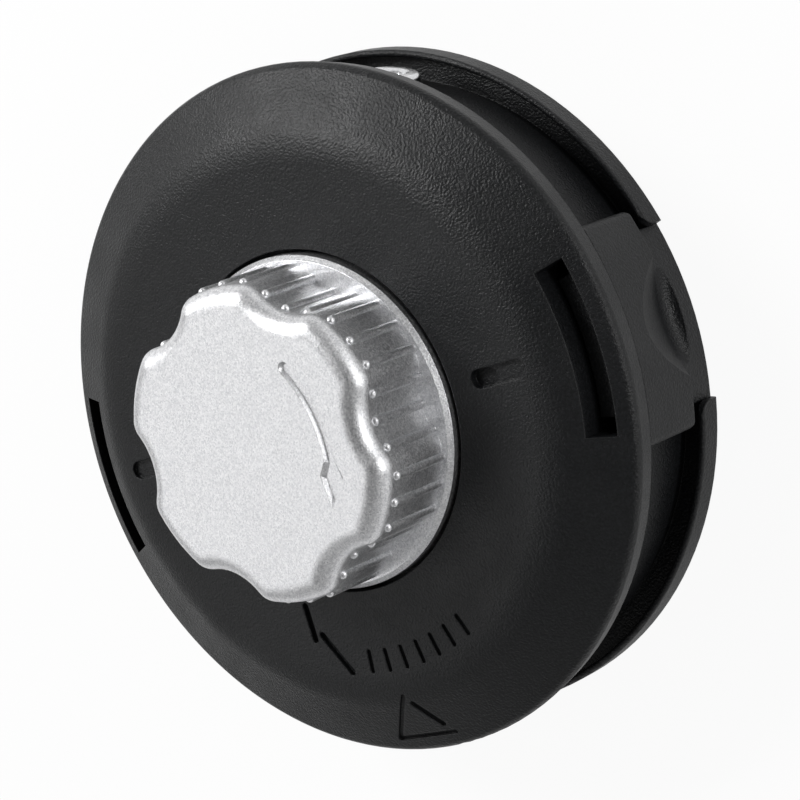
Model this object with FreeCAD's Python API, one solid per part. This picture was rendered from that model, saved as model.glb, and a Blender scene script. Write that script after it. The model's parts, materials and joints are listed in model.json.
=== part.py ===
"""Bump feed trimmer head: a line spool in a two-piece nylon case, wound and bumped by a metal knob."""
import FreeCAD
import Part
import math
import os
from FreeCAD import Vector

# The frame: millimetres, +Z along the spin axis towards the knob, origin at the centre of the rear face.
# +X passes through one latch, and the line outlets lie at outlet_angle.

# Spool
spool_radius = 49.5
spool_width = 13.5
spool_flange = 2.0
spool_divider = 1.4
hub_wall = 6.6
spring_web = 4.0
bump_travel = 5.0
line_anchor_bore = 1.6

# Stop lugs: the spool's catch on the cover's at rest and on the rear case's when the knob is bumped
lug_count = 6
lug_angle = 12.0
lug_side_gap = 0.6
lug_height = 3.0
lug_width = 5.5
lug_end_gap = 0.5
rear_lug_height = 3.5
rear_lug_inset = 5.5
rear_lug_gap = 0.8
front_lug_inset = 1.9

# Rear case
spool_gap = 2.3
drum_wall = 2.2
floor_thickness = 3.2
lip_overhang = 4.7
lip_wall = 1.2
lip_front_z = 4.6
lip_blend = 0.5
groove_floor = 1.3
groove_undercut = 0.8
drum_rear_z = 4.0
edge_blend = 0.4
rear_recess_depth = 1.2
rear_recess_inset = 5.8
rear_pad_margin = 7.0
rear_rib_count = 12
rear_rib_width = 2.4

# Cover
cover_wall = 2.5
skirt_overhang = 6.0
skirt_height = 4.9
skirt_draft = 0.9
band_width = 12.5
band_angle = 26.0
face_blend = 14.0
rim_blend = 1.6
knob_gap = 0.8
seat_gap = 0.2
shoulder_width = 3.0
shoulder_depth = 1.0

# Latches: two spring tongues of the rear case that hook into slots of the cover
latch_count = 2
block_half_angle = 18.7
block_lip_gap = 2.8
block_blend = 1.5
block_gap = 0.3
tongue_slit = 1.0
scoop_half_width = 14.6
scoop_depth = 4.4
scoop_top_z = 16.3
scoop_blend = 2.5
lip_corner = 2.2
shelf_half_angle = 15.0
shelf_step = 1.3
shelf_z = 3.5
slot_inset = 0.6
slot_width = 4.6
slot_half_angle = 15.0
hook_half_angle = 12.5
hook_arm_wall = 1.8
hook_depth = 1.5
hook_reach = 1.3
catch_height = 2.2
catch_gap = 0.3

# Line outlets
outlet_angle = 67.0
outlet_count = 2
line_bore = 1.75
eyelet_barrel = 3.6
eyelet_flange = 5.0
eyelet_flange_depth = 2.6
eyelet_flange_blend = 0.8
eyelet_collar = 4.4
eyelet_collar_depth = 0.9
eyelet_collar_blend = 0.3
eyelet_gap = 0.05
eyelet_mouth = 1.4

# Marks on the cover, with their places as distances in from the rim or from the edge of the flat face
mark_depth = 0.6
pocket_inset = 2.2
pocket_length = 11.3
pocket_width = 3.2
pocket_depth = 0.8
pocket_deep_length = 5.0
pocket_deep_depth = 1.5
triangle_stroke = 0.9
triangle_bar_stroke = 1.2
triangle_tip_inset = 11.3
triangle_base_inset = 2.9
triangle_tip_angle = -91.4
triangle_left_angle = -98.2
triangle_right_angle = -85.8
triangle_bar_start = 0.2
triangle_bar_end = 0.76
tick_count = 7
tick_inset = 3.9
tick_length = 3.4
tick_first_angle = -97.0
tick_last_angle = -66.5
tick_width = 0.9
slit_width = 1.3
slit_depth = 1.0
slit_one_insets = (13.6, 8.2)
slit_one_angles = (-117.5, -113.6)
slit_two_insets = (9.3, 3.6)
slit_two_angles = (-111.3, -102.9)

# Arbor
nut_flats = 14.0
nut_length = 20.0
nut_hex_length = 8.0
nut_gap = 0.02
thread_bore = 4.45
post_wall = 1.9
post_front_gap = 2.0
bush_wall = 1.0
bush_drop = 1.0
running_gap = 0.05

# Spring
wire_radius = 1.0
spring_radius = 15.2
spring_turns = 4.5
spring_room = 2.2
washer_margin = 1.3
washer_thickness = 1.2
washer_gap = 0.1
washer_bore_gap = 0.4
seat_thickness = 1.0

# Knob
knob_flange_radius = 28.8
knob_flange_rise = 1.6
knob_flange_chamfer = 0.8
knob_grip_height = 16.6
knob_wall = 2.6
knob_edge_blend = 3.4
lobe_count = 6
lobe_inset = 1.9
lobe_angle = 27.0
lobe_corner = 4.0
flute_radius = 11.0
flute_depth = 2.9
rib_pitch = 10.0
rib_radius = 0.8
rib_proud = 0.65
rib_top_drop = 4.6
arrow_radius = 24.3
arrow_centre_x = -8.1
arrow_centre_y = -1.6
arrow_width = 2.2
arrow_tail_angle = 31.5
arrow_neck_angle = -8.5
arrow_barb_angle = -14.6
arrow_tip_angle = -27.2
arrow_head_half_width = 2.4
arrow_depth = 0.7
arrow_draft = 0.5

# Knob screws
screw_count = 3
screw_shank = 1.95
screw_head = 3.3
screw_head_height = 1.9
screw_depth = 11.0
screw_gap = 0.1
boss_wall = 1.2

up = Vector(0, 0, 1)
origin = Vector(0, 0, 0)


def polar(radius, degrees, z=0.0):
    angle = math.radians(degrees)
    return Vector(radius * math.cos(angle), radius * math.sin(angle), z)


def turned(shape, degrees):
    copy = shape.copy()
    copy.rotate(origin, up, degrees)
    return copy


def ring_of(shape, count, first=0.0):
    return [turned(shape, first + 360.0 * index / count) for index in range(count)]


def rounded_outline(corners):
    """Closed wire through corners (point, blend radius), with an arc at each corner that has a radius."""
    edges = []
    ends = []
    count = len(corners)
    for index in range(count):
        point, blend = corners[index]
        before = (corners[index - 1][0] - point).normalize()
        after = (corners[(index + 1) % count][0] - point).normalize()
        if blend == 0.0:
            ends.append((point, point))
            continue
        half = before.getAngle(after) / 2.0
        reach = blend / math.tan(half)
        middle = point + (before + after).normalize() * (blend / math.sin(half) - blend)
        ends.append((point + before * reach, point + after * reach))
        edges.append(Part.Arc(ends[-1][0], middle, ends[-1][1]).toShape())
    for index in range(count):
        start = ends[index][1]
        stop = ends[(index + 1) % count][0]
        if start.distanceToPoint(stop) > 1e-6:
            edges.append(Part.LineSegment(start, stop).toShape())
    return Part.Wire(Part.__sortEdges__(edges))


def lathe(corners):
    """Solid of revolution about Z from corners (radius, z) or (radius, z, blend radius)."""
    points = [(Vector(corner[0], 0, corner[1]), corner[2] if len(corner) > 2 else 0.0) for corner in corners]
    return Part.Face(rounded_outline(points)).revolve(origin, up, 360)


def tube(inner, outer, low, high):
    solid = Part.makeCylinder(outer, high - low, Vector(0, 0, low))
    if inner > 0.0:
        solid = solid.cut(Part.makeCylinder(inner, high - low, Vector(0, 0, low)))
    return solid


def sector(inner, outer, half_angle, low, high, at=0.0):
    """Part of a ring, half_angle to each side of the angle at."""
    first = at - half_angle
    last = at + half_angle
    edges = [
        Part.LineSegment(polar(inner, first, low), polar(outer, first, low)).toShape(),
        Part.Arc(polar(outer, first, low), polar(outer, at, low), polar(outer, last, low)).toShape(),
        Part.LineSegment(polar(outer, last, low), polar(inner, last, low)).toShape(),
        Part.Arc(polar(inner, last, low), polar(inner, at, low), polar(inner, first, low)).toShape(),
    ]
    return Part.Face(Part.Wire(edges)).extrude(Vector(0, 0, high - low))


def bar(start, stop, width, low, high):
    """Upright bar with round ends along the line from start to stop."""
    along = (stop - start).normalize()
    side = Vector(-along.y, along.x, 0) * (width / 2.0)
    edges = [
        Part.LineSegment(start + side, stop + side).toShape(),
        Part.Arc(stop + side, stop + along * (width / 2.0), stop - side).toShape(),
        Part.LineSegment(stop - side, start - side).toShape(),
        Part.Arc(start - side, start - along * (width / 2.0), start + side).toShape(),
    ]
    solid = Part.Face(Part.Wire(edges)).extrude(Vector(0, 0, high - low))
    solid.translate(Vector(0, 0, low))
    return solid


# Sizes that follow from the driving dimensions: radii from the spool outwards
drum_inner = spool_radius + spool_gap
drum_radius = drum_inner + drum_wall
cover_radius = drum_radius + skirt_overhang
skirt_rear_radius = cover_radius - skirt_draft
flat_radius = cover_radius - band_width
lip_radius = drum_radius + lip_overhang
shelf_radius = lip_radius - shelf_step
block_radius = skirt_rear_radius - block_gap
slot_inner = drum_inner + slot_inset
slot_outer = slot_inner + slot_width
hole_radius = knob_flange_radius + knob_gap
lobe_radius = knob_flange_radius - lobe_inset
post_radius = nut_flats / 2.0 / math.cos(math.pi / 6.0) + post_wall
bush_radius = post_radius + bush_wall
spool_bore = bush_radius + running_gap
spring_pocket_radius = spring_radius + wire_radius + spring_room
spool_hub = spring_pocket_radius + hub_wall
washer_outer = spring_radius + wire_radius + washer_margin
screw_pitch_radius = (spool_bore + spring_pocket_radius) / 2.0
rear_lug_outer = spool_radius - rear_lug_inset
front_lug_inner = hole_radius + front_lug_inset

# Heights from the rear face forwards
seat_top_z = floor_thickness + seat_thickness
spool_rear_z = floor_thickness + rear_lug_height + bump_travel + rear_lug_gap
spool_front_z = spool_rear_z + spool_width
spring_seat_z = spool_front_z - spring_web
washer_front_z = spring_seat_z - washer_gap
washer_rear_z = washer_front_z - washer_thickness
post_front_z = spool_front_z + post_front_gap
inner_face_z = spool_front_z + lug_height + lug_end_gap
cover_face_z = inner_face_z + cover_wall
band_slope = math.tan(math.radians(band_angle))
band_wall = cover_wall / math.cos(math.radians(band_angle))
band_foot_z = cover_face_z - band_width * band_slope
skirt_rear_z = band_foot_z - skirt_height
drum_front_z = cover_face_z - (drum_radius + seat_gap - flat_radius) * band_slope - band_wall - shoulder_depth
block_rear_z = lip_front_z + block_lip_gap
block_front_z = skirt_rear_z - block_gap
hook_low = drum_front_z - hook_depth
catch_top = hook_low - catch_gap
outlet_z = (drum_rear_z + skirt_rear_z) / 2.0
knob_flange_front_z = cover_face_z + knob_flange_rise
knob_front_z = knob_flange_front_z + knob_grip_height


def band_z(radius):
    """Height of the cover's conical band, without the blends, at a radius."""
    return cover_face_z - (radius - flat_radius) * band_slope


def cover_outside():
    """The cover as a solid block, with only its outer form."""
    return lathe([
        (0.0, skirt_rear_z),
        (skirt_rear_radius, skirt_rear_z, edge_blend),
        (cover_radius, band_foot_z, rim_blend),
        (flat_radius, cover_face_z, face_blend),
        (0.0, cover_face_z),
    ])


def cover_inside():
    """The room inside the cover, with the shoulder that sits on the drum."""
    skirt_inner = skirt_rear_radius - cover_wall
    shoulder_outer = drum_radius + seat_gap
    shoulder_inner = shoulder_outer - shoulder_width
    return lathe([
        (0.0, skirt_rear_z - 1.0),
        (skirt_inner, skirt_rear_z - 1.0),
        (skirt_inner, band_z(skirt_inner) - band_wall),
        (shoulder_outer, band_z(shoulder_outer) - band_wall),
        (shoulder_outer, drum_front_z),
        (drum_inner - seat_gap, drum_front_z),
        (drum_inner - seat_gap, drum_front_z - shoulder_width),
        (shoulder_inner - seat_gap, drum_front_z - shoulder_width),
        (shoulder_inner - seat_gap, band_z(shoulder_inner) - band_wall),
        (flat_radius, inner_face_z),
        (0.0, inner_face_z),
    ])


def triangle_mark():
    """Stroked triangle that points in towards the knob: two sides that meet, and a short bar on the third."""
    high = cover_face_z + 1.0
    base_radius = cover_radius - triangle_base_inset
    tip = polar(cover_radius - triangle_tip_inset, triangle_tip_angle)
    left = polar(base_radius, triangle_left_angle)
    right = polar(base_radius, triangle_right_angle)
    sides = bar(tip, left, triangle_stroke, 0.0, high).fuse(bar(left, right, triangle_stroke, 0.0, high))
    start = tip + (right - tip) * triangle_bar_start
    end = tip + (right - tip) * triangle_bar_end
    return sides.fuse(bar(start, end, triangle_bar_stroke, 0.0, high))


def cover_marks():
    """Cutters for the engraved marks, each at its depth under the cover's face."""
    high = cover_face_z + 1.0
    outside = cover_outside()
    outside.translate(Vector(0, 0, -mark_depth))
    cutters = [triangle_mark().cut(outside)]
    for index in range(tick_count):
        angle = tick_first_angle + (tick_last_angle - tick_first_angle) * index / (tick_count - 1)
        tick_outer = polar(flat_radius - tick_inset, angle)
        tick_inner = polar(flat_radius - tick_inset - tick_length, angle)
        tick = bar(tick_inner, tick_outer, tick_width, cover_face_z - mark_depth, high)
        cutters.append(tick)
    for insets, angles in ((slit_one_insets, slit_one_angles), (slit_two_insets, slit_two_angles)):
        start = polar(flat_radius - insets[0], angles[0])
        stop = polar(flat_radius - insets[1], angles[1])
        cutters.append(bar(start, stop, slit_width, cover_face_z - slit_depth, high))
    end = pocket_width / 2.0
    pocket_outer = flat_radius - pocket_inset
    pocket_inner = pocket_outer - pocket_length
    near = Vector(pocket_inner + end, 0, 0)
    deep = Vector(pocket_inner + pocket_deep_length - end, 0, 0)
    far = Vector(pocket_outer - end, 0, 0)
    pocket = bar(near, far, pocket_width, cover_face_z - pocket_depth, high)
    pocket = pocket.fuse(bar(near, deep, pocket_width, cover_face_z - pocket_deep_depth, high))
    return cutters + ring_of(pocket, latch_count)


def lugs(inner, low, high, first):
    return ring_of(sector(inner, inner + lug_width, lug_angle / 2.0, low, high), lug_count, first)


def make_cover():
    shell = cover_outside().cut(cover_inside())
    hole = Part.makeCylinder(hole_radius, cover_face_z, Vector(0, 0, 1.0))
    slot = sector(slot_inner, slot_outer, slot_half_angle, skirt_rear_z - 2.0, cover_face_z)
    shell = shell.cut([hole] + ring_of(slot, latch_count))
    catch_inner = slot_inner + hook_arm_wall + seat_gap + catch_gap
    catch = sector(catch_inner, skirt_rear_radius - cover_wall / 2.0, slot_half_angle,
                   catch_top - catch_height, catch_top)
    stops = lugs(front_lug_inner, inner_face_z - lug_height, inner_face_z + cover_wall / 2.0,
                 lug_angle + lug_side_gap)
    shell = shell.fuse(ring_of(catch, latch_count) + stops)
    return shell.cut(cover_marks()).removeSplitter()


def case_body():
    """Floor, drum wall and guard lip in one turned form, with the arbor post."""
    body = lathe([
        (0.0, 0.0),
        (lip_radius, 0.0, lip_blend),
        (lip_radius, lip_front_z, lip_blend),
        (lip_radius - lip_wall, lip_front_z, lip_blend),
        (lip_radius - lip_wall, groove_floor),
        (drum_radius - groove_undercut, groove_floor),
        (drum_radius - groove_undercut, drum_rear_z),
        (drum_radius, drum_rear_z),
        (drum_radius, drum_front_z, edge_blend),
        (drum_inner, drum_front_z, edge_blend),
        (drum_inner, floor_thickness),
        (post_radius, floor_thickness),
        (post_radius, post_front_z, edge_blend),
        (0.0, post_front_z),
    ])
    rear_recess_outer = drum_inner - rear_recess_inset
    recess = tube(washer_outer + rear_pad_margin, rear_recess_outer, 0.0, rear_recess_depth)
    rib_corner = Vector(0, -rear_rib_width / 2.0, 0)
    rib = Part.makeBox(rear_recess_outer, rear_rib_width, rear_recess_depth, rib_corner)
    return body.cut(recess.cut(ring_of(rib, rear_rib_count)))


def latch_block():
    """Outer part of a latch tongue, flush with the skirt, before its finger scoop is cut."""
    block = sector(drum_inner, block_radius, block_half_angle, block_rear_z, block_front_z)
    corners = [edge for edge in block.Edges if is_outer_corner(edge)]
    return block.makeFillet(block_blend, corners)


def is_outer_corner(edge):
    """True for the block's two side edges and two rear edges on its outer face."""
    centre = edge.CenterOfMass
    radius = math.hypot(centre.x, centre.y)
    upright = abs(edge.BoundBox.ZLength - (block_front_z - block_rear_z)) < 1e-6
    radial = edge.BoundBox.ZLength < 1e-6 and edge.Length < block_radius - drum_inner + 1e-6
    if upright:
        return radius > drum_radius
    return radial and centre.z < block_front_z - 1e-6 and radius > drum_inner + 1e-6


def finger_scoop():
    """Cutter for a thumb-sized hollow: a cone beside the latch with a round foot on the shelf it runs out on."""
    girth = (scoop_half_width ** 2 + scoop_depth ** 2) / (2.0 * scoop_depth)
    slope = scoop_depth / (scoop_top_z - shelf_z)
    height = scoop_top_z - shelf_z + scoop_blend
    cone = lathe([
        (0.0, shelf_z),
        (girth, shelf_z, scoop_blend),
        (girth - slope * height, shelf_z + height),
        (0.0, shelf_z + height),
    ])
    cone.translate(Vector(block_radius - scoop_depth + girth, 0, 0))
    return cone


def lip_corner_cuts():
    """Cutters that round the lip's front corners where it stops at both sides of a latch."""
    length = lip_radius - shelf_radius + 2.0 * lip_wall
    start = shelf_radius - lip_wall
    low = lip_front_z - lip_corner
    block = Part.makeBox(length, lip_corner, lip_corner + lip_wall, Vector(start, 0, low))
    left = block.cut(Part.makeCylinder(lip_corner, length, Vector(start, lip_corner, low), Vector(1, 0, 0)))
    right = left.mirror(origin, Vector(0, 1, 0))
    return [turned(left, shelf_half_angle), turned(right, -shelf_half_angle)]


def latch_tongue():
    """Hook arm that stands on the block and reaches out over the cover's catch."""
    arm_inner = slot_inner + seat_gap
    arm_outer = arm_inner + hook_arm_wall
    arm = sector(arm_inner, arm_outer, hook_half_angle, block_rear_z, hook_low + hook_depth)
    hook = sector(arm_inner, arm_outer + hook_reach, hook_half_angle, hook_low, hook_low + hook_depth)
    return arm.fuse(hook)


def make_housing():
    body = case_body()
    slot_room = sector(drum_inner - 1.0, lip_radius, block_half_angle, block_front_z, drum_front_z + 1.0)
    lip_break = sector(shelf_radius, lip_radius + 1.0, shelf_half_angle, -1.0, lip_front_z + 1.0)
    shelf = sector(drum_inner, shelf_radius, shelf_half_angle, 0.0, block_rear_z + block_blend)
    slit_half = math.degrees(tongue_slit / 2.0 / drum_radius)
    slits = [sector(drum_inner - 1.0, lip_radius - lip_wall, slit_half, lip_front_z, drum_front_z + 1.0, side)
             for side in (block_half_angle + slit_half, -block_half_angle - slit_half)]
    for index in range(latch_count):
        angle = 360.0 * index / latch_count
        breaks = [slot_room, lip_break] + lip_corner_cuts()
        body = body.cut([turned(cutter, angle) for cutter in breaks])
        body = body.fuse([turned(latch_block(), angle), turned(shelf, angle)])
        body = body.cut([turned(finger_scoop(), angle)] + [turned(slit, angle) for slit in slits])
        body = body.fuse(turned(latch_tongue(), angle))
    stops = lugs(rear_lug_outer - lug_width, floor_thickness / 2.0, floor_thickness + rear_lug_height,
                 lug_angle + lug_side_gap)
    body = body.fuse(stops)
    outlet = Part.makeCylinder(eyelet_barrel + eyelet_gap, 2.0 * drum_wall + 2.0,
                               Vector(drum_inner - drum_wall, 0, outlet_z), Vector(1, 0, 0))
    shaft_room = Part.makeCylinder(nut_flats / 2.0 + nut_gap, post_front_z)
    body = body.cut(ring_of(outlet, outlet_count, outlet_angle) + [nut_form(nut_gap), shaft_room])
    return body.removeSplitter()


def hex_prism(half_flats, length):
    corner = half_flats / math.cos(math.pi / 6.0)
    points = [polar(corner, 60.0 * index) for index in range(6)]
    return Part.Face(Part.makePolygon(points + points[:1])).extrude(Vector(0, 0, length))


def nut_form(gap):
    """The arbor nut's outer form, grown by gap: a hexagonal foot that can't turn, and a round shank."""
    foot = hex_prism(nut_flats / 2.0 + gap, nut_hex_length + gap)
    return foot.fuse(Part.makeCylinder(nut_flats / 2.0 + gap, nut_length + gap)).removeSplitter()


def make_arbor_nut():
    return nut_form(0.0).cut(Part.makeCylinder(thread_bore, nut_length))


def make_post_bush():
    return tube(post_radius, bush_radius, floor_thickness, post_front_z - bush_drop)


def make_eyelet():
    """Metal line outlet along +X, with a flared mouth outside and a rolled collar inside."""
    inner_end = math.sqrt(drum_inner ** 2 - eyelet_collar ** 2) - eyelet_gap
    seat = drum_radius + eyelet_gap
    corners = [
        (line_bore, inner_end - eyelet_collar_depth, eyelet_collar_blend),
        (eyelet_collar, inner_end - eyelet_collar_depth, eyelet_collar_blend),
        (eyelet_collar, inner_end),
        (eyelet_barrel, inner_end),
        (eyelet_barrel, seat),
        (eyelet_flange, seat),
        (eyelet_flange, seat + eyelet_flange_depth, eyelet_flange_blend),
        (line_bore, seat + eyelet_flange_depth, eyelet_mouth),
    ]
    eyelet = lathe(corners)
    eyelet.rotate(origin, Vector(0, 1, 0), 90)
    eyelet.translate(Vector(0, 0, outlet_z))
    return eyelet


def make_spring():
    """Compression spring between the rear seat washer and the sliding washer."""
    low = seat_top_z + wire_radius + running_gap
    high = washer_rear_z - wire_radius - running_gap
    helix = Part.makeHelix((high - low) / spring_turns, high - low, spring_radius)
    helix.translate(Vector(0, 0, low))
    section = Part.Wire(Part.Circle(Vector(spring_radius, 0, low), Vector(0, 1, 0), wire_radius).toShape())
    return Part.Wire(helix).makePipeShell([section], True, True)


def make_spool():
    body = lathe([
        (spool_bore, spring_seat_z),
        (spring_pocket_radius, spring_seat_z),
        (spring_pocket_radius, spool_rear_z),
        (spool_radius, spool_rear_z, edge_blend),
        (spool_radius, spool_rear_z + spool_flange, edge_blend),
        (spool_hub, spool_rear_z + spool_flange),
        (spool_hub, spool_front_z - spool_flange),
        (spool_radius, spool_front_z - spool_flange, edge_blend),
        (spool_radius, spool_front_z, edge_blend),
        (spool_bore, spool_front_z),
    ])
    middle = (spool_rear_z + spool_front_z) / 2.0
    divider = tube(spool_hub - hub_wall / 2.0, spool_radius,
                   middle - spool_divider / 2.0, middle + spool_divider / 2.0)
    rear = lugs(rear_lug_outer - lug_width, spool_rear_z - lug_height, spool_rear_z + spool_flange / 2.0, 0.0)
    front = lugs(front_lug_inner, spool_front_z - spool_flange / 2.0, spool_front_z + lug_height, 0.0)
    body = body.fuse([divider] + rear + front)
    chamber_z = (spool_rear_z + spool_flange + middle - spool_divider / 2.0) / 2.0
    anchor = Part.makeCylinder(line_anchor_bore, spool_hub, Vector(spring_pocket_radius - 1.0, 0, chamber_z),
                               Vector(1, 0, 0))
    holes = ring_of(anchor, outlet_count, outlet_angle)
    for place in screw_places():
        holes.append(Part.makeCylinder(screw_shank + screw_gap, spool_front_z, place))
        room = Part.makeCylinder(screw_head + screw_gap, screw_head_height + screw_gap,
                                 place + Vector(0, 0, spring_seat_z))
        holes.append(room)
    return body.cut(holes).removeSplitter()


def screw_places():
    pitch = 360.0 / screw_count
    return [polar(screw_pitch_radius, lobe_angle + pitch * index) for index in range(screw_count)]


def make_screw(place):
    head_top = spring_seat_z + screw_head_height
    head = Part.makeCylinder(screw_head, screw_head_height, place + Vector(0, 0, spring_seat_z))
    shank = Part.makeCylinder(screw_shank, screw_depth, place + Vector(0, 0, head_top))
    drive = hex_prism(screw_shank * 0.7, screw_head_height * 0.6)
    drive.translate(place + Vector(0, 0, spring_seat_z))
    return head.fuse(shank).cut(drive).removeSplitter()


def flute_centre_distance():
    return lobe_radius - flute_depth + flute_radius


def corner_angle():
    """Angle from a flute's middle to the centre of the corner arc beside it."""
    far = flute_centre_distance()
    near = lobe_radius - lobe_corner
    reach = flute_radius + lobe_corner
    return math.degrees(math.acos((far ** 2 + near ** 2 - reach ** 2) / (2.0 * far * near)))


def side_point(degrees):
    """Point on the knob's lobed side at an angle from a flute's middle, and the outward direction there."""
    far = flute_centre_distance()
    swing = corner_angle()
    pocket = polar(far, 0.0)
    corner = polar(lobe_radius - lobe_corner, math.copysign(swing, degrees))
    joint = corner + (pocket - corner) * (lobe_corner / (lobe_corner + flute_radius))
    turn = math.radians(degrees)
    if abs(degrees) > swing:
        return polar(lobe_radius, degrees), polar(1.0, degrees)
    if abs(turn) > abs(math.atan2(joint.y, joint.x)):
        offset = math.radians(abs(degrees) - swing)
        radius = corner.Length * math.cos(offset)
        radius += math.sqrt(lobe_corner ** 2 - (corner.Length * math.sin(offset)) ** 2)
        point = polar(radius, degrees)
        return point, (point - corner).normalize()
    radius = far * math.cos(turn) - math.sqrt(flute_radius ** 2 - (far * math.sin(turn)) ** 2)
    point = polar(radius, degrees)
    return point, (pocket - point).normalize()


def lobed_outline(inset):
    """Closed outline of the knob's grip: flutes, corner arcs and lobes in turn, moved in by inset."""
    step = 360.0 / lobe_count
    swing = corner_angle()
    far = flute_centre_distance()
    flute = flute_radius + inset
    corner = lobe_corner - inset
    edges = []
    for index in range(lobe_count):
        base = lobe_angle + step / 2.0 + index * step
        pocket = polar(far, base)
        left = polar(lobe_radius - lobe_corner, base - swing)
        right = polar(lobe_radius - lobe_corner, base + swing)
        left_joint = left + (pocket - left).normalize() * corner
        right_joint = right + (pocket - right).normalize() * corner
        edges.append(Part.Arc(left_joint, pocket - polar(flute, base), right_joint).toShape())
        lobe_start = polar(lobe_radius - inset, base + swing)
        middle = right + ((right_joint - right).normalize() + polar(1.0, base + swing)).normalize() * corner
        edges.append(Part.Arc(right_joint, middle, lobe_start).toShape())
        lobe_end = polar(lobe_radius - inset, base + step - swing)
        edges.append(Part.Arc(lobe_start, polar(lobe_radius - inset, base + step / 2.0), lobe_end).toShape())
        following = polar(lobe_radius - lobe_corner, base + step - swing)
        next_pocket = polar(far, base + step)
        next_joint = following + (next_pocket - following).normalize() * corner
        outward = polar(1.0, base + step - swing)
        middle = following + ((next_joint - following).normalize() + outward).normalize() * corner
        edges.append(Part.Arc(lobe_end, middle, next_joint).toShape())
    return Part.Wire(edges)


def lobed_prism(inset, low, high):
    solid = Part.Face(lobed_outline(inset)).extrude(Vector(0, 0, high - low))
    solid.translate(Vector(0, 0, low))
    return solid


def knob_ribs():
    """Thin upright grip ribs with round tips, evenly spaced in angle around the lobed side."""
    step = 360.0 / lobe_count
    low = knob_flange_front_z - 0.5
    high = knob_front_z - rib_top_drop
    ribs = []
    for flute in range(lobe_count):
        base = lobe_angle + step / 2.0 + flute * step
        for index in range(int(step / rib_pitch)):
            degrees = index * rib_pitch - step / 2.0
            point, outward = side_point(degrees)
            place = point + outward * (rib_proud - rib_radius) + Vector(0, 0, low)
            rib = Part.makeCylinder(rib_radius, high - low, place)
            tip = Part.makeSphere(rib_radius, place + Vector(0, 0, high - low))
            ribs.append(turned(rib.fuse(tip).removeSplitter(), base))
    return ribs


def arrow_outline(inset, height):
    """Outline of the curved turning arrow at a height above the knob's face, drawn in by an inset."""
    turn = math.degrees(inset / arrow_radius)
    inner = arrow_radius - arrow_width / 2.0 + inset
    outer = arrow_radius + arrow_width / 2.0 - inset
    half_head = arrow_head_half_width - 1.5 * inset
    near_barb = polar(arrow_radius - half_head, arrow_barb_angle - turn)
    far_barb = polar(arrow_radius + half_head, arrow_barb_angle - turn)
    tip = polar(arrow_radius, arrow_tip_angle + 2.0 * turn)
    tail = arrow_tail_angle
    neck = arrow_neck_angle - turn
    middle = (tail + neck) / 2.0
    end = polar(arrow_radius, tail + math.degrees(arrow_width / 2.0 / arrow_radius) - turn)
    edges = [
        Part.Arc(polar(outer, tail), polar(outer, middle), polar(outer, neck)).toShape(),
        Part.LineSegment(polar(outer, neck), far_barb).toShape(),
        Part.LineSegment(far_barb, tip).toShape(),
        Part.LineSegment(tip, near_barb).toShape(),
        Part.LineSegment(near_barb, polar(inner, neck)).toShape(),
        Part.Arc(polar(inner, neck), polar(inner, middle), polar(inner, tail)).toShape(),
        Part.Arc(polar(inner, tail), end, polar(outer, tail)).toShape(),
    ]
    outline = Part.Wire(edges)
    outline.translate(Vector(arrow_centre_x, arrow_centre_y, knob_front_z + height))
    return outline


def arrow_pocket():
    """Cutter for the arrow sunk into the knob's face, with sloping walls."""
    floor = arrow_outline(arrow_draft, -arrow_depth)
    top = arrow_outline(-arrow_draft, arrow_depth)
    return Part.makeLoft([floor, top], True, True)


def make_knob():
    foot = spool_front_z + running_gap
    flange = lathe([
        (0.0, foot),
        (knob_flange_radius, foot, edge_blend),
        (knob_flange_radius, knob_flange_front_z - knob_flange_chamfer),
        (knob_flange_radius - knob_flange_chamfer, knob_flange_front_z),
        (0.0, knob_flange_front_z),
    ])
    grip = lobed_prism(0.0, knob_flange_front_z - 1.0, knob_front_z)
    top = [edge for edge in grip.Edges if edge.BoundBox.ZMin > knob_front_z - 1e-6]
    grip = grip.makeFillet(knob_edge_blend, top)
    ceiling = knob_front_z - knob_wall
    room = lobed_prism(knob_wall, foot - 1.0, ceiling)
    boss_height = ceiling - foot + knob_wall / 2.0
    bosses = [Part.makeCylinder(screw_shank + boss_wall, boss_height, place + Vector(0, 0, foot))
              for place in screw_places()]
    holes = [Part.makeCylinder(screw_shank, spring_seat_z + screw_head_height + screw_depth - foot,
                               place + Vector(0, 0, foot)) for place in screw_places()]
    knob = flange.fuse([grip] + knob_ribs()).cut(room)
    knob = knob.fuse(bosses).cut(holes + [arrow_pocket()])
    return knob.removeSplitter()


def make_parts():
    parts = {
        "housing": make_housing(),
        "cover": make_cover(),
        "arbor_nut": make_arbor_nut(),
        "post_bush": make_post_bush(),
        "spring_seat": tube(bush_radius + washer_bore_gap, washer_outer, floor_thickness, seat_top_z),
        "spring": make_spring(),
        "spring_washer": tube(bush_radius + washer_bore_gap, washer_outer, washer_rear_z, washer_front_z),
        "spool": make_spool(),
        "bump_knob": make_knob(),
    }
    for index, eyelet in enumerate(ring_of(make_eyelet(), outlet_count, outlet_angle)):
        parts["eyelet_%d" % (index + 1)] = eyelet
    for index, place in enumerate(screw_places()):
        parts["knob_screw_%d" % (index + 1)] = make_screw(place)
    return parts


def single_solid(shape):
    return shape.Solids[0] if len(shape.Solids) == 1 else shape


os.makedirs("parts", exist_ok=True)
for name, shape in make_parts().items():
    solid = single_solid(shape)
    print(name, "solids", len(shape.Solids), "valid", shape.isValid(), "volume %.1f" % shape.Volume)
    solid.exportStep("parts/%s.step" % name)
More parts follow.
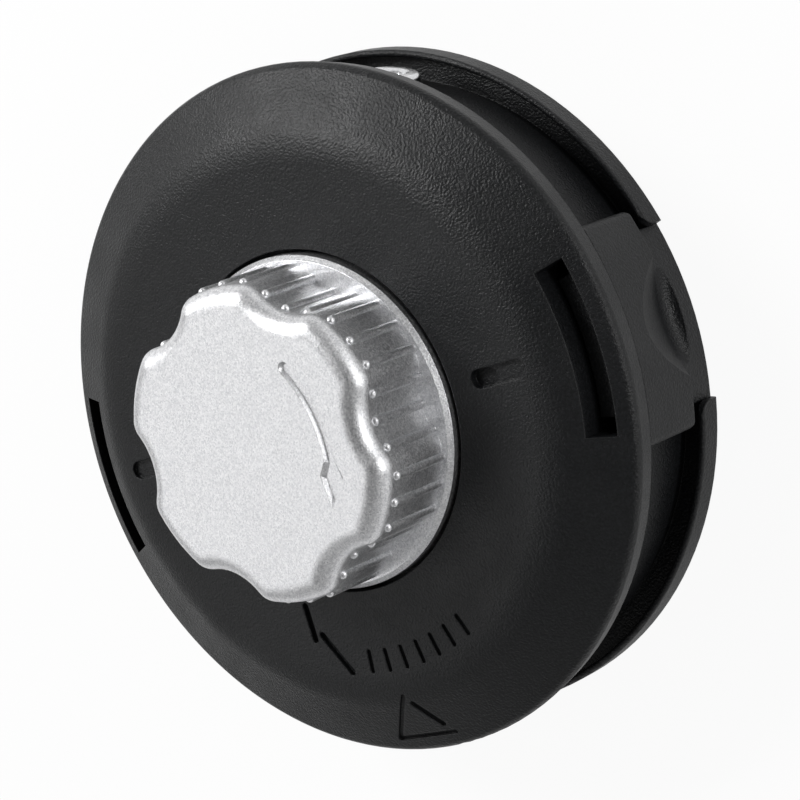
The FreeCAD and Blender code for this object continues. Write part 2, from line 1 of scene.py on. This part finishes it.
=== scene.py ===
# %% [markdown]
# A trimmer head spins a nylon line that cuts grass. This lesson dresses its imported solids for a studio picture:
# a black nylon case with a latched cover, and a silver knob that is bumped on the ground to feed more line.
# The solids already have the right sizes and places, so the work here is finishes, small forms, light and camera.

# %% Load the frame
import bpy
import bmesh
import json
import math
from mathutils import Matrix, Vector


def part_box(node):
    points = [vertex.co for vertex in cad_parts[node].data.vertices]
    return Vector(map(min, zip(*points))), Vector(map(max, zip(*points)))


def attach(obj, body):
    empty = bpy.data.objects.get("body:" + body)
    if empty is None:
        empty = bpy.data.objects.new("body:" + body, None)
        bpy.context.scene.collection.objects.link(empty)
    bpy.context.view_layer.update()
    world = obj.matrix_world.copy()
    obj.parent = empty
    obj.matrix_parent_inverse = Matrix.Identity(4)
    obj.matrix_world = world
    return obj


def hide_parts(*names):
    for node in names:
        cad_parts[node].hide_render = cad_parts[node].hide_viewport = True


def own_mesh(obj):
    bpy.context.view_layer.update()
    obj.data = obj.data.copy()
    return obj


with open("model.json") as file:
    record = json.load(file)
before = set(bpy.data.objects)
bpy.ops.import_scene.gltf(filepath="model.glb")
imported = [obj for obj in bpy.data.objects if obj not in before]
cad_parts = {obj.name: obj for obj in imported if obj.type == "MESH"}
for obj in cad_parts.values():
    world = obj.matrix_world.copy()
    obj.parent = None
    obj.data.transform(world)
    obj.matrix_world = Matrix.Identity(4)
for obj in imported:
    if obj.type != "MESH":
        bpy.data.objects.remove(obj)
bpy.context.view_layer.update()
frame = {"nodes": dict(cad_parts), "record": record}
nodes = frame["nodes"]
mm = 0.001
print("nodes:", sorted(nodes))

# %% [markdown]
# Colours are picked as they look on a screen, in sRGB, but shaders work in linear light, so one function turns them.
# A second small function adds a shader node, sets its settings, and fills or links its inputs.
# With those two, each finish below reads as a list of what the surface does.

# %% Two helpers for finishes
def linear(hex_colour):
    """Linear red, green, blue and alpha of an sRGB colour such as #8a8a8a."""
    channels = [int(hex_colour[place:place + 2], 16) / 255.0 for place in (1, 3, 5)]
    return [c / 12.92 if c <= 0.04045 else ((c + 0.055) / 1.055) ** 2.4 for c in channels] + [1.0]


def add(tree, kind, inputs, **settings):
    """New shader node with its settings made and its inputs filled with values or linked to outputs."""
    made = tree.nodes.new(kind)
    for name, value in settings.items():
        setattr(made, name, value)
    for name, value in inputs.items():
        if isinstance(value, bpy.types.NodeSocket):
            tree.links.new(value, made.inputs[name])
        else:
            made.inputs[name].default_value = value
    return made


def new_finish(name):
    """New material, its node tree, its surface shader and the place on the object in metres."""
    material = bpy.data.materials.new(name)
    material.use_nodes = True
    tree = material.node_tree
    place = add(tree, "ShaderNodeTexCoord", {}).outputs["Object"]
    return material, tree, tree.nodes["Principled BSDF"], place


def per_mm(size):
    """Texture scale at which one feature is about size millimetres across."""
    return 1.0 / (size * mm)


print("mid grey in linear light:", [round(channel, 4) for channel in linear("#808080")])

# %% [markdown]
# The case is glass-filled nylon 6, injection moulded in a spark-eroded tool. That gives an even fine grain,
# a soft grey sheen where light grazes it, and slightly smoother patches where the plastic met the steel harder.
# Two noises give this: one at the grain's own size for the bump, and one of several millimetres for the sheen.

# %% Finish of the case
grain_size = 0.42
grain_depth = 0.16
cloud_size = 9.0
edge_round = 0.35
nylon_ior = 1.53
nylon_specular = 0.28


def moulded_nylon(name, colour, pale, low_gloss, high_gloss, bump):
    material, tree, surface, place = new_finish(name)
    grain = add(tree, "ShaderNodeTexNoise", {"Vector": place, "Scale": per_mm(grain_size), "Detail": 2.0})
    cloud = add(tree, "ShaderNodeTexNoise", {"Vector": place, "Scale": per_mm(cloud_size), "Detail": 3.0})
    tint = add(tree, "ShaderNodeValToRGB", {"Fac": grain.outputs["Fac"]})
    tint.color_ramp.elements[0].position = 0.35
    tint.color_ramp.elements[0].color = linear(colour)
    tint.color_ramp.elements[1].position = 0.75
    tint.color_ramp.elements[1].color = linear(pale)
    gloss = add(tree, "ShaderNodeMapRange", {"Value": cloud.outputs["Fac"], "From Min": 0.3, "From Max": 0.7,
                                             "To Min": low_gloss, "To Max": high_gloss})
    edge = add(tree, "ShaderNodeBevel", {"Radius": edge_round * mm}, samples=6)
    relief = add(tree, "ShaderNodeBump", {"Height": grain.outputs["Fac"], "Strength": bump,
                                          "Distance": grain_depth * mm, "Normal": edge.outputs["Normal"]})
    tree.links.new(tint.outputs["Color"], surface.inputs["Base Color"])
    tree.links.new(gloss.outputs["Result"], surface.inputs["Roughness"])
    tree.links.new(relief.outputs["Normal"], surface.inputs["Normal"])
    surface.inputs["IOR"].default_value = nylon_ior
    surface.inputs["Specular IOR Level"].default_value = nylon_specular
    return material


case_nylon = moulded_nylon("glass_filled_nylon_moulded", "#0c0d0e", "#191a1c", 0.36, 0.46, 1.0)
spool_nylon = moulded_nylon("spool_nylon_moulded", "#1c1d1f", "#232426", 0.42, 0.5, 0.2)

# %% [markdown]
# The knob is a zinc-aluminium die casting, blasted with fine grit and left silver. Grit leaves pits of about a
# quarter of a millimetre that each tilt the metal a little, so the face is bright and even with a quiet sparkle.
# A cell pattern paints each pit its own brightness in the colour, a painted sparkle that stands in for the glints of
# the tilted pits, and a noise of the same size tilts the surface.
# The other metals are turned, plated, drawn or sintered, so they take the same pattern, with a fainter painted
# sparkle and far less relief.

# %% Finish of the knob
grit_size = 0.24
grit_depth = 0.08
metal_round = 0.12


def blasted_alloy(name, painted_sparkle_dark, painted_sparkle_bright, low_gloss, high_gloss, bump):
    material, tree, surface, place = new_finish(name)
    pits = add(tree, "ShaderNodeTexVoronoi", {"Vector": place, "Scale": per_mm(grit_size)})
    tilt = add(tree, "ShaderNodeTexNoise", {"Vector": place, "Scale": per_mm(grit_size), "Detail": 2.0})
    # painted sparkle: the cell pattern makes each pit's colour lighter or darker, standing in for its glint
    tint = add(tree, "ShaderNodeValToRGB", {"Fac": pits.outputs["Color"]})
    tint.color_ramp.elements[0].color = linear(painted_sparkle_dark)
    tint.color_ramp.elements[1].color = linear(painted_sparkle_bright)
    gloss = add(tree, "ShaderNodeMapRange", {"Value": pits.outputs["Color"],
                                             "To Min": low_gloss, "To Max": high_gloss})
    edge = add(tree, "ShaderNodeBevel", {"Radius": metal_round * mm}, samples=6)
    relief = add(tree, "ShaderNodeBump", {"Height": tilt.outputs["Fac"], "Strength": bump,
                                          "Distance": grit_depth * mm, "Normal": edge.outputs["Normal"]})
    tree.links.new(tint.outputs["Color"], surface.inputs["Base Color"])
    tree.links.new(gloss.outputs["Result"], surface.inputs["Roughness"])
    tree.links.new(relief.outputs["Normal"], surface.inputs["Normal"])
    surface.inputs["Metallic"].default_value = 1.0
    return material


knob_alloy = blasted_alloy("zinc_aluminium_blasted", "#c4c5c8", "#fafafb", 0.34, 0.46, 0.6)
eyelet_alloy = blasted_alloy("aluminium_turned", "#d6d7d9", "#efeff0", 0.18, 0.26, 0.1)
plated_steel = blasted_alloy("steel_zinc_plated", "#b9bbbf", "#cfd1d4", 0.24, 0.34, 0.12)
spring_wire = blasted_alloy("spring_steel_drawn", "#8d8f93", "#a6a8ac", 0.25, 0.36, 0.1)
bush_bronze = blasted_alloy("bronze_sintered", "#a9824c", "#c39a5f", 0.34, 0.46, 0.25)

# %% [markdown]
# Each solid keeps its own mesh and only gets its finish. The record names a slot for every solid,
# so the finishes are handed out by slot rather than one by one.

# %% Hand out the finishes
finish_of_slot = {
    "case_nylon": case_nylon,
    "spool_nylon": spool_nylon,
    "knob_alloy": knob_alloy,
    "steel": plated_steel,
    "spring_steel": spring_wire,
    "bronze": bush_bronze,
    "eyelet_alloy": eyelet_alloy,
}
for subpart in frame["record"]["subparts"]:
    mesh = nodes[subpart["node"]].data
    mesh.materials.clear()
    mesh.materials.append(finish_of_slot[subpart["material_slot"]])

# %% [markdown]
# The spring between the two washers is round wire wound into an open coil, with its ends cut square.
# One circle of wire is spun around the axis while it climbs, and the cut ends lose their sharp edge.

# %% Spring
wire_radius = 1.0 * mm
coil_radius = 15.2 * mm
coil_turns = 4.5
steps_per_turn = 48
wire_sides = 16
cut_end_round = 0.15 * mm


def make_coil(low, high):
    """Coil of round wire whose centre line climbs from one height to another."""
    form = bmesh.new()
    steps = int(coil_turns * steps_per_turn)
    start = Matrix.Translation((coil_radius, 0.0, low)) @ Matrix.Rotation(math.radians(90.0), 4, "X")
    bmesh.ops.create_circle(form, cap_ends=True, segments=wire_sides, radius=wire_radius, matrix=start)
    wire = form.verts[:] + form.edges[:] + form.faces[:]
    climb = (0.0, 0.0, (high - low) / steps)
    bmesh.ops.spin(form, geom=wire, cent=(0.0, 0.0, 0.0), axis=(0.0, 0.0, 1.0), dvec=climb,
                   angle=math.tau * coil_turns, steps=steps, use_merge=False)
    ends = [face for face in form.faces if len(face.verts) > 4]
    rims = [edge for face in ends for edge in face.edges]
    bmesh.ops.bevel(form, geom=rims, offset=cut_end_round, offset_type="OFFSET", affect="EDGES", segments=2,
                    profile=0.5, material=-1)
    bmesh.ops.recalc_face_normals(form, faces=form.faces)
    for face in form.faces:
        face.smooth = len(face.verts) == 4
    mesh = bpy.data.meshes.new("coil_spring")
    form.to_mesh(mesh)
    form.free()
    mesh.materials.append(spring_wire)
    coil = bpy.data.objects.new("coil_spring", mesh)
    bpy.context.scene.collection.objects.link(coil)
    return coil


spring_low, spring_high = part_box("spring")
coil = make_coil(spring_low[2] + wire_radius, spring_high[2] - wire_radius)
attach(coil, "case")
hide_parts("spring")
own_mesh(coil)

# %% [markdown]
# The camera's place was found by matching the cover's rim, the knob and the latches to the picture.
# Its three directions are kept as vectors, and a long lens keeps the perspective as flat as in the picture.

# %% Camera
camera = bpy.data.objects.new("camera", bpy.data.cameras.new("camera"))
bpy.context.scene.collection.objects.link(camera)
camera_right = Vector((0.7398, -0.3025, -0.6010))
camera_up = Vector((0.1988, 0.9516, -0.2343))
camera_back = camera_right.cross(camera_up).normalized()
camera_place = Vector((334.3, 26.5, 407.3)) * mm
turn = Matrix((camera_right, camera_back.cross(camera_right), camera_back)).transposed()
camera.matrix_world = Matrix.Translation(camera_place) @ turn.to_4x4()
camera.data.lens = 135.0
camera.data.sensor_width = 36.0
camera.data.clip_start = 0.01
bpy.context.scene.camera = camera
print("camera stands", round(camera_place.length, 3), "m from the head")

# %% [markdown]
# A white floor carries the head. For the camera it glows so that it reads as white paper, with a little plain paint
# left in it that takes the head's soft shadow. Mirrored in the head it glows less, so the black case stays dark.
# The room is white to the camera too, but lights the head dimly, and darkest from the side that the face mirrors.

# %% Floor and room
floor_half_width = 3.0
floor_gap = 0.2 * mm


def make_floor():
    form = bmesh.new()
    bmesh.ops.create_grid(form, x_segments=1, y_segments=1, size=floor_half_width)
    bmesh.ops.translate(form, verts=form.verts, vec=(0.0, 0.0, -floor_gap))
    mesh = bpy.data.meshes.new("floor")
    form.to_mesh(mesh)
    form.free()
    floor = bpy.data.objects.new("floor", mesh)
    bpy.context.scene.collection.objects.link(floor)
    return floor


paper_glow = 0.93
reflected_glow = 0.5
floor = make_floor()
paper = bpy.data.materials.new("white_paper")
paper.use_nodes = True
tree = paper.node_tree
tree.nodes.clear()
seen = add(tree, "ShaderNodeLightPath", {})
paint = add(tree, "ShaderNodeBsdfDiffuse", {"Color": linear("#f4f4f4")})
glow = add(tree, "ShaderNodeEmission", {"Color": linear("#ffffff"), "Strength": 1.0})
direct = add(tree, "ShaderNodeMath", {0: seen.outputs["Is Camera Ray"], 1: paper_glow}, operation="MULTIPLY")
mirrored = add(tree, "ShaderNodeMath", {0: seen.outputs["Is Glossy Ray"], 1: reflected_glow},
               operation="MULTIPLY")
share = add(tree, "ShaderNodeMath", {0: direct.outputs[0], 1: mirrored.outputs[0]}, operation="MAXIMUM")
mixed = add(tree, "ShaderNodeMixShader", {0: share.outputs[0], 1: paint.outputs[0], 2: glow.outputs[0]})
add(tree, "ShaderNodeOutputMaterial", {"Surface": mixed.outputs[0]})
floor.data.materials.append(paper)

room_light = 0.42
dark_light = 0.12
dark_side = Vector((0.35, 0.05, 0.94))
world = bpy.data.worlds.new("room")
bpy.context.scene.world = world
world.use_nodes = True
tree = world.node_tree
tree.nodes.clear()
seen = add(tree, "ShaderNodeLightPath", {})
towards = add(tree, "ShaderNodeTexCoord", {}).outputs["Generated"]
nearness = add(tree, "ShaderNodeVectorMath", {0: towards, 1: dark_side}, operation="DOT_PRODUCT").outputs["Value"]
level = add(tree, "ShaderNodeMapRange", {"Value": nearness, "From Min": 0.55, "From Max": 0.95,
                                         "To Min": room_light, "To Max": dark_light},
            interpolation_type="SMOOTHSTEP")
dim = add(tree, "ShaderNodeBackground", {"Color": linear("#ffffff"), "Strength": level.outputs["Result"]})
white = add(tree, "ShaderNodeBackground", {"Color": linear("#ffffff"), "Strength": 1.0})
mixed = add(tree, "ShaderNodeMixShader", {0: seen.outputs["Is Camera Ray"], 1: dim.outputs[0],
                                          2: white.outputs[0]})
add(tree, "ShaderNodeOutputWorld", {"Surface": mixed.outputs[0]})
bpy.context.scene.view_settings.view_transform = "Standard"
print("floor lies", floor_gap / mm, "mm under the head; room light from", dark_light, "to", room_light)

# %% [markdown]
# A wide softbox behind the upper left lights the cover's slope, a second one above lights the knob's face,
# and a narrow strip on the right draws the thin bright line along the rim.

# %% Lamps
def softbox(name, direction, distance, width, height, brightness):
    """Area lamp that faces the head from a direction, with the same brightness whatever its size in metres."""
    lamp = bpy.data.objects.new(name, bpy.data.lights.new(name, "AREA"))
    bpy.context.scene.collection.objects.link(lamp)
    lamp.data.shape = "RECTANGLE"
    lamp.data.size = width
    lamp.data.size_y = height
    lamp.data.energy = brightness * math.pi * width * height
    away = Vector(direction).normalized()
    target = Vector((0.0, 0.0, 20.0 * mm))
    facing = away.to_track_quat("Z", "Y").to_matrix().to_4x4()
    lamp.matrix_world = Matrix.Translation(target + away * distance) @ facing
    return lamp


softbox("slope_softbox", (-0.40, 0.64, 0.66), 0.7, 0.28, 0.22, 18.0)
softbox("face_softbox", (-0.66, -0.10, 0.74), 0.9, 0.4, 0.4, 1.25)
softbox("side_softbox", (0.96, 0.05, 0.27), 0.6, 0.5, 0.12, 7.0)
